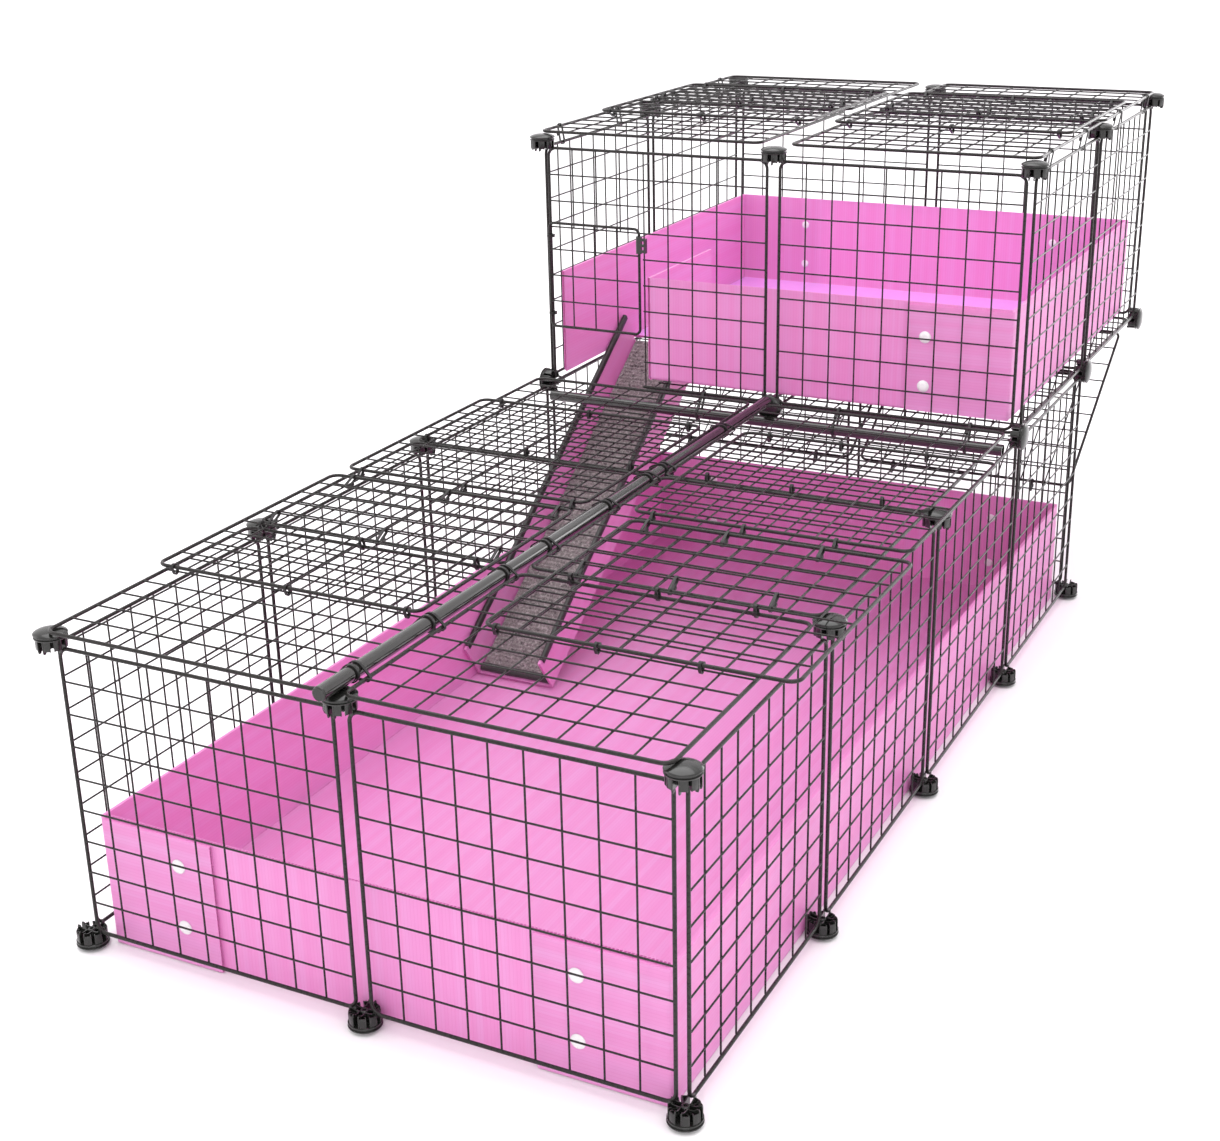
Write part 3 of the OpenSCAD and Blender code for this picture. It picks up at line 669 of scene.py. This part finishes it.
SHORT_FIN = [(7.4, 3.7), (16.9, 3.7), (16.9, -6.4), (15.9, -8.3), (13.4, -8.3), (11.8, -6.2),
             (7.4, -5.4)]
RIM = [(17.1, 3.7), (17.1, -6.7), (16.75, -7.5), (15.9, -7.5), (15.6, -6.7), (15.6, 3.7)]
SNAP = [(-7.2, 2.76), (-8.0, 2.36), (-9.6, 2.36), (-10.6, 2.76)]    # (height, offset), mm
RIM_STEPS = 6


def radial(angle):
    """Outward and sideways directions at an angle about +Z."""
    return (Vector((math.cos(angle), math.sin(angle), 0)),
            Vector((-math.sin(angle), math.cos(angle), 0)))


def rim_panel(mesh, start, end):
    """A curved panel of the rim between two angles."""
    angles = [start + (end - start) * k / RIM_STEPS for k in range(RIM_STEPS + 1)]
    rows = [[mesh.add((radius * MM * math.cos(a), radius * MM * math.sin(a), z * MM))
             for a in angles] for radius, z in RIM]
    for row, following in zip(rows, rows[1:] + rows[:1]):
        for k in range(RIM_STEPS):
            mesh.face(row[k], row[k + 1], following[k + 1], following[k])
    mesh.face(*[row[0] for row in rows])
    mesh.face(*[row[-1] for row in reversed(rows)])


def connector():
    """One push-fit connector about its own centre, dome towards +Z."""
    mesh = Build()
    revolve(mesh, [(radius * MM, z * MM) for radius, z in DOME], 64)
    revolve(mesh, [(radius * MM, z * MM) for radius, z in HUB], 28)
    beside_long, beside_short = math.asin(4.0 / 17.0), math.asin(2.6 / 17.0)
    for quarter in range(4):
        angle = math.pi / 2 * quarter
        # long fins either side of a wire slot, with pointed snap ends
        out, side = radial(angle)
        for sign in (-1, 1):
            prism(mesh, LONG_FIN, out, AXIS_Z, side, sign * 2.72, sign * 4.05)
            prism(mesh, [(offset * sign, z) for z, offset in SNAP], side, AXIS_Z, out, 13.0, 16.4)
        # short fins either side of a diagonal slot
        out, side = radial(angle + math.pi / 4)
        for sign in (-1, 1):
            prism(mesh, SHORT_FIN, out, AXIS_Z, side, sign * 1.62, sign * 2.7)
        rim_panel(mesh, angle + beside_long, angle + math.pi / 4 - beside_short)
        rim_panel(mesh, angle + math.pi / 4 + beside_short, angle + math.pi / 2 - beside_long)
    return mesh


def solids(node, reach=0.06):
    """The separate solids of a node, as arrays of points; they lie further apart than reach."""
    points = np.array([v.co for v in CAD[node].data.vertices])
    left = np.ones(len(points), bool)
    found = []
    while left.any():
        near = left & (np.abs(points - points[left][0]).max(1) < reach)
        found.append(points[near])
        left &= ~near
    return found


def dome_rotation(axis, sign):
    """Turns +Z to the given axis and sign."""
    if axis == 0:
        return Matrix(((0, 0, sign), (0, 1, 0), (-sign, 0, 0)))
    if axis == 1:
        return Matrix(((1, 0, 0), (0, 0, sign), (0, -sign, 0)))
    return Matrix(((1, 0, 0), (0, sign, 0), (0, 0, sign)))


def place_connectors(node, name):
    one = connector()
    mesh = Build()
    for points in solids(node):
        low, high = points.min(0), points.max(0)
        middle = (low + high) / 2
        axis = int(np.argmin(high - low))
        others = [i for i in range(3) if i != axis]

        def reach(chosen):
            return np.hypot(*(points[chosen][:, others] - middle[others]).T).max()

        # the dome end is the one whose points lie nearest the axis
        top = reach(points[:, axis] > high[axis] - 2e-4)
        bottom = reach(points[:, axis] < low[axis] + 2e-4)
        sign = 1 if top < bottom else -1
        dome_side = Vector((0, 0, 0))
        dome_side[axis] = sign
        # 13 mm of dome above the centre, 11 mm of fins below
        centre = Vector(middle) - dome_side * MM
        matrix = Matrix.Translation(centre) @ dome_rotation(axis, sign).to_4x4()
        mesh.stamp([matrix @ Vector(point) for point in one.points], one.faces)
    ob = mesh.object(name, PLASTIC, "frame", "black_plastic", node, angle=28)
    bevel = ob.modifiers.new("moulded_edges", "BEVEL")
    bevel.width, bevel.segments = 0.00022, 2
    bevel.limit_method, bevel.angle_limit = "ANGLE", math.radians(50)


place_connectors("foot_connectors", "foot_connectors_moulded")
place_connectors("grid_connectors", "grid_connectors_moulded")


# ------------------------------------------------------------------ ramp
# Ramp places are (across, up the slope, out of the deck), measured from the pivot line.
pivot = Vector(JOINTS["ramp_lift"]["pos_m"])
mat_points = np.array([v.co for v in CAD["ramp_felt_mat"].data.vertices])


def mat_thickness(degrees):
    """Thickness of the mat's points, seen square to a slope."""
    angle = math.radians(degrees)
    out = -math.sin(angle) * mat_points[:, 1] + math.cos(angle) * mat_points[:, 2]
    return out.max() - out.min()


# the ramp's slope is the one at which its mat is thinnest
slope = math.radians(min((30 + 0.05 * k for k in range(220)), key=mat_thickness))
UPHILL = Vector((0, math.cos(slope), math.sin(slope)))
OUTWARD = Vector((0, -math.sin(slope), math.cos(slope)))
RAMP_ORIGIN = Vector((0, pivot.y, pivot.z))


def ramp_span(node):
    """(lowest, highest) ramp place of a node."""
    points = np.array([v.co for v in CAD[node].data.vertices]) - np.array(RAMP_ORIGIN)
    places = np.stack([points[:, 0], points @ np.array(UPHILL), points @ np.array(OUTWARD)], 1)
    return places.min(0), places.max(0)


def ramp_point(across, uphill, out):
    return RAMP_ORIGIN + AXIS_X * across + UPHILL * uphill + OUTWARD * out


def ramp_channel():
    """Deck and two side walls in one bent sheet, flutes up the slope."""
    low, high = ramp_span("ramp_channel")
    path = Path([(low[0], high[2]), (low[0], low[2]), (high[0], low[2]), (high[0], high[2])])
    deck_sag, length = 0.0003, high[1] - low[1]

    def place(along, across, depth):
        point, normal = path.at(across)
        dip = 0.0
        if low[0] + 0.004 < point.x < high[0] - 0.004:
            dip = deck_sag * math.sin(math.pi * (along - low[1]) / length)
        return ramp_point(point.x + normal.x * depth, along, point.y + normal.y * depth - dip)

    mesh = Build()
    sheet(mesh, place, [low[1] + length * k / 16 for k in range(17)], cells(0, path.total))
    mesh.object("ramp_channel_sheet", SHEET, "ramp", "pink_corrugated", "ramp_channel",
                is_sheet=True)


def ramp_trims():
    """A U-shaped strip over the top of each side wall, a little wavy along its length."""
    low, high = ramp_span("ramp_edge_trims")
    width = THICK + 0.0032
    half, lip, top = width / 2, 0.00145, high[2] - low[2]
    # (across, out): from one lip over the top to the other, then back along the slot
    outline = [
        (-half + 0.0004, 0), (-half, 0.0006), (-half, top - 0.0022),
        (-half + 0.0005, top - 0.0011), (-half + 0.0012, top - 0.0004), (-half + 0.0022, top),
        (half - 0.0022, top), (half - 0.0012, top - 0.0004), (half - 0.0005, top - 0.0011),
        (half, top - 0.0022), (half, 0.0006), (half - 0.0004, 0),
        (half - lip + 0.0001, 0), (half - lip, 0.0005), (half - lip, top - 0.0022),
        (-half + lip, top - 0.0022), (-half + lip, 0.0005), (-half + lip - 0.0001, 0)]
    # outline points of each end face: first leg, second leg, crown
    end_faces = ((0, 1, 2, 3, 4, 5, 15, 16, 17), range(6, 15), (5, 6, 14, 15))
    steps = 90
    start, end = ramp_span("ramp_channel")[0][1] + 0.007, high[1]
    mesh = Build()
    for side, phase in ((low[0], 0.3), (high[0] - width, 1.9)):
        rings = []
        for k in range(steps + 1):
            part = k / steps
            uphill = start + (end - start) * part
            sway = 0.00028 * math.sin(9.1 * part + phase) + 0.00012 * math.sin(47 * part + phase)
            rise = 0.0002 * math.sin(23 * part + 2 * phase)
            rings.append([mesh.add(ramp_point(side + half + across + sway, uphill,
                                              low[2] + out + rise)) for across, out in outline])
        mesh.skin(rings)
        for ring, order in ((rings[0], 1), (rings[-1], -1)):
            for ids in end_faces:
                mesh.face(*[ring[i] for i in ids][::order])
    mesh.object("ramp_edge_trim_strips", TRIM, "ramp", "trim_rubber", "ramp_edge_trims", angle=40)


def felt_mat(low, high):
    """A ribbed, slightly uneven pad with soft rounded edges."""
    columns, rows = 48, 420
    edge_width, rib_pitch = 0.0035, 0.0068
    thick = high[2] - low[2]
    mesh = Build()
    top, bottom = [], []
    for i in range(rows + 1):
        y = low[1] + (high[1] - low[1]) * i / rows
        top.append([])
        bottom.append([])
        for j in range(columns + 1):
            x = low[0] + (high[0] - low[0]) * j / columns
            inset = min(x - low[0], high[0] - x, y - low[1], high[1] - y)
            edge = min(1.0, inset / edge_width)
            soft = math.sqrt(max(0.0, 1 - (1 - edge) ** 2))
            drift = 0.35 * noise.noise(Vector((x * 40, y * 9, 3.1)))
            rib = 0.5 + 0.5 * math.cos(2 * math.pi * (y - low[1]) / rib_pitch + drift)
            lump = noise.noise(Vector((x * 28, y * 28, 0.0)))
            fuzz = noise.noise(Vector((x * 520, y * 520, 7.0)))
            height = (thick * (0.30 + 0.47 * soft) + 0.00115 * rib * soft
                      + 0.00038 * lump * soft + 0.00033 * fuzz)
            fray = 0.0
            if j in (0, columns):
                fray = 0.0005 * noise.noise(Vector((y * 60, 1.0 if j == 0 else 9.0, 4.0)))
            height = min(height, thick + 0.0004)
            top[-1].append(mesh.add(ramp_point(x + fray, y, low[2] + height)))
            bottom[-1].append(mesh.add(ramp_point(x + fray, y, low[2] + 0.0001)))
    for i in range(rows):
        for j in range(columns):
            mesh.face(top[i][j], top[i][j + 1], top[i + 1][j + 1], top[i + 1][j])
            mesh.face(bottom[i][j], bottom[i + 1][j], bottom[i + 1][j + 1], bottom[i][j + 1])
        for j in (0, columns):
            mesh.face(top[i][j], top[i + 1][j], bottom[i + 1][j], bottom[i][j])
    for i in (0, rows):
        for j in range(columns):
            mesh.face(top[i][j], bottom[i][j], bottom[i][j + 1], top[i][j + 1])
    mesh.object("ramp_mat_felt", FELT, "ramp", "charcoal_felt", "ramp_felt_mat", angle=80)


def mat_binding(low, high):
    """Sewn binding over the lower end of the mat."""
    thick = high[2] - low[2]
    # (uphill, out) from the mat's lower end
    section = [
        (-0.0012, 0.0), (-0.0016, 0.0012), (-0.0016, thick - 0.0008), (-0.0008, thick + 0.0004),
        (0.0008, thick + 0.0009), (0.0085, thick + 0.0008), (0.0098, thick + 0.0002),
        (0.0102, thick - 0.0012), (0.0102, 0.0)]
    steps, inset = 40, 0.0006
    mesh = Build()
    rings = []
    for k in range(steps + 1):
        x = low[0] + inset + (high[0] - low[0] - 2 * inset) * k / steps
        sway = 0.0003 * math.sin(11 * k / steps + low[1] * 9)
        pull = 0.0002 * math.cos(2 * math.pi * k / 4)      # stitches draw the top in
        rings.append([mesh.add(ramp_point(x, low[1] + uphill + sway,
                                          low[2] + out + (pull if out > 0.002 else 0)))
                      for uphill, out in section])
    mesh.skin(rings)
    mesh.face(*rings[0])
    mesh.face(*reversed(rings[-1]))
    mesh.object("ramp_mat_binding", BINDING, "ramp", "trim_rubber", angle=50)


ramp_channel()
ramp_trims()
felt_mat(*ramp_span("ramp_felt_mat"))
mat_binding(*ramp_span("ramp_felt_mat"))


# ------------------------------------------------------------------ weld beads on the grids
# Bead radii along a grid's two sides and through it
CROSSING_BEAD = (0.00135, 0.00135, 0.00115)
UPRIGHT_EDGE_BEAD = (0.0011, 0.0014, 0.0012)
LEVEL_EDGE_BEAD = (0.0014, 0.0011, 0.0012)
EDGE_INSET = EDGE - 0.0001     # edge beads from the grid's outline
EDGE_LIFT = 0.0010             # edge beads off the grid's middle plane

bm = bmesh.new()
bmesh.ops.create_icosphere(bm, subdivisions=1, radius=1.0)
ball_points = [tuple(v.co) for v in bm.verts]
ball_faces = [tuple(v.index for v in face.verts) for face in bm.faces]
bm.free()
node_body = {node: body for body, nodes in frame["record"]["behaviour"]["bodies"].items()
             for node in nodes}
beads = {}     # one mesh for each moving body


def weld_grid(body, origin, across, up, size, cut_columns=0, cut_rows=0):
    """Beads on a square grid, leaving out an opening at its origin corner."""
    out = across.cross(up)
    mesh = beads.setdefault(body, Build())

    def bead(right, rise, lift, radii):
        centre = origin + across * right + up * rise + out * lift
        mesh.stamp([centre + across * (x * radii[0]) + up * (y * radii[1]) + out * (z * radii[2])
                    for x, y, z in ball_points], ball_faces)

    places = [EDGE / 2 + i * (size - EDGE) / GRID_STEPS for i in range(GRID_STEPS)]
    for i in range(1, GRID_STEPS):
        for j in range(1, GRID_STEPS):
            if i >= cut_rows or j >= cut_columns:
                bead(places[j], places[i], 0, CROSSING_BEAD)
        if i >= cut_rows:
            bead(EDGE_INSET, places[i], EDGE_LIFT, UPRIGHT_EDGE_BEAD)
        bead(size - EDGE_INSET, places[i], EDGE_LIFT, UPRIGHT_EDGE_BEAD)
        if i >= cut_columns:
            bead(places[i], EDGE_INSET, -EDGE_LIFT, LEVEL_EDGE_BEAD)
        bead(places[i], size - EDGE_INSET, -EDGE_LIFT, LEVEL_EDGE_BEAD)


def weld_flat_grids():
    grid_axes = ((AXIS_Y, AXIS_Z), (AXIS_X, AXIS_Z), (AXIS_X, AXIS_Y))   # by the thin axis
    for name in CAD:
        if "grid" not in name or "connector" in name or name == "overhang_brace_grids":
            continue
        low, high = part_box(name)
        extent = high - low
        thin = min(range(3), key=lambda i: extent[i])
        origin = Vector(low)
        origin[thin] = (low[thin] + high[thin]) / 2
        has_opening = name in ("loft_doorway_grid", "loft_floor_ramp_grid")
        weld_grid(node_body[name], origin, *grid_axes[thin], max(extent),
                  *((4, 6) if has_opening else (0, 0)))


def weld_brace_grids():
    """Two sloping grids, one at each side of the overhang."""
    low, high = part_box("base_front_left_grid")
    size = high.x - low.x
    low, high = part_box("overhang_brace_grids")
    half = EDGE / 2
    run, rise = high.y - low.y - EDGE, high.z - low.z - EDGE
    length = math.hypot(run, rise)
    up = Vector((0, run / length, rise / length))
    for x in (low.x, high.x - size):
        weld_grid("frame", Vector((x, low.y + half, low.z + half)) - up * half, AXIS_X, up, size)


weld_flat_grids()
weld_brace_grids()
for body, mesh in beads.items():
    mesh.object("weld_beads_" + body, WIRE, body, "black_wire", merge=0, angle=80)


# ------------------------------------------------------------------ finishes on the CAD pieces
FINISH = {
    "ridge_tube": (TUBE, "black_tube"),
    "ridge_tube_caps": (PLASTIC, "black_plastic"),
    "cross_tube": (TUBE, "black_tube"),
    "tray_rivets": (RIVET, "white_plastic"),
    "door_latch": (PLASTIC, "black_plastic"),
}
for name, ob in CAD.items():
    if ob.hide_render:
        continue
    other = (TIE, "tie_nylon") if name.endswith("ties") else (WIRE, "black_wire")
    material, slot = FINISH.get(name, other)
    ob.data.materials.clear()
    ob.data.materials.append(material)


# ------------------------------------------------------------------ stage, light and camera
def studio_floor():
    """A floor that curves up into a back wall."""
    half_width, back, top, radius = 7.0, 5.0, 5.0, 2.2
    profile = [(-9.0, 0.0), (-4.0, 0.0), (0.0, 0.0), (back - radius, 0.0)]
    for degrees in range(9, 91, 9):
        angle = math.radians(degrees)
        profile.append((back - radius + radius * math.sin(angle),
                        radius - radius * math.cos(angle)))
    profile += [(back, radius + 1.5), (back, top)]
    mesh = Build()
    rows = [[mesh.add((half_width * k / 2, y, z)) for k in range(-2, 3)] for y, z in profile]
    for row, following in zip(rows, rows[1:]):
        for k in range(4):
            mesh.face(row[k], row[k + 1], following[k + 1], following[k])
    data = bpy.data.meshes.new("studio_floor")
    data.from_pydata(mesh.points, [], mesh.faces)
    data.polygons.foreach_set("use_smooth", [True] * len(data.polygons))
    data.materials.append(FLOOR)
    floor = bpy.data.objects.new("studio_floor", data)
    bpy.context.scene.collection.objects.link(floor)


def studio_world():
    world = bpy.data.worlds.new("studio")
    bpy.context.scene.world = world
    world.use_nodes = True
    background = world.node_tree.nodes["Background"]
    background.inputs["Color"].default_value = (1.0, 0.985, 0.995, 1)
    background.inputs["Strength"].default_value = 1.34


def softbox(name, at, look, width, height, radiance):
    light = bpy.data.lights.new(name, "AREA")
    light.shape, light.size, light.size_y = "RECTANGLE", width, height
    light.energy = radiance * math.pi * width * height
    light.color = (1, 0.99, 1)
    ob = bpy.data.objects.new(name, light)
    bpy.context.scene.collection.objects.link(ob)
    ob.location = at
    ob.rotation_euler = (Vector(look) - Vector(at)).to_track_quat("-Z", "Y").to_euler()
    ob.visible_camera = False


def camera():
    data = bpy.data.cameras.new("camera")
    ob = bpy.data.objects.new("camera", data)
    bpy.context.scene.collection.objects.link(ob)
    right = Vector((0.8921, 0.4514, -0.0193)).normalized()
    forward = Vector((-0.4267, 0.8276, -0.3647)).normalized()
    up = right.cross(forward).normalized()
    right = forward.cross(up).normalized()
    matrix = Matrix((right, up, -forward)).transposed().to_4x4()
    matrix.translation = Vector((0.979, -2.054, 1.140))
    ob.matrix_world = matrix
    data.sensor_width, data.sensor_fit, data.lens = 36.0, "HORIZONTAL", 54.81
    data.clip_start, data.clip_end = 0.05, 60
    bpy.context.scene.camera = ob


studio_floor()
studio_world()
# name, place, point looked at, width, height, radiance
for box in (
        ("overhead_softbox", (-0.3, 0.2, 3.6), (0, 0, 0.3), 3.2, 3.6, 2.5),
        ("front_softbox", (1.9, -3.6, 2.1), (0, 0, 0.35), 2.2, 1.8, 1.7),
        ("left_softbox", (-3.2, -1.4, 1.8), (0, 0, 0.35), 1.6, 2.0, 1.2),
        ("back_softbox", (1.5, 3.9, 1.25), (0, 0.5, 0.1), 2.4, 1.2, 3.4)):
    softbox(*box)
camera()
bpy.context.scene.view_settings.view_transform = "Standard"
bpy.context.scene.view_settings.look = "None"
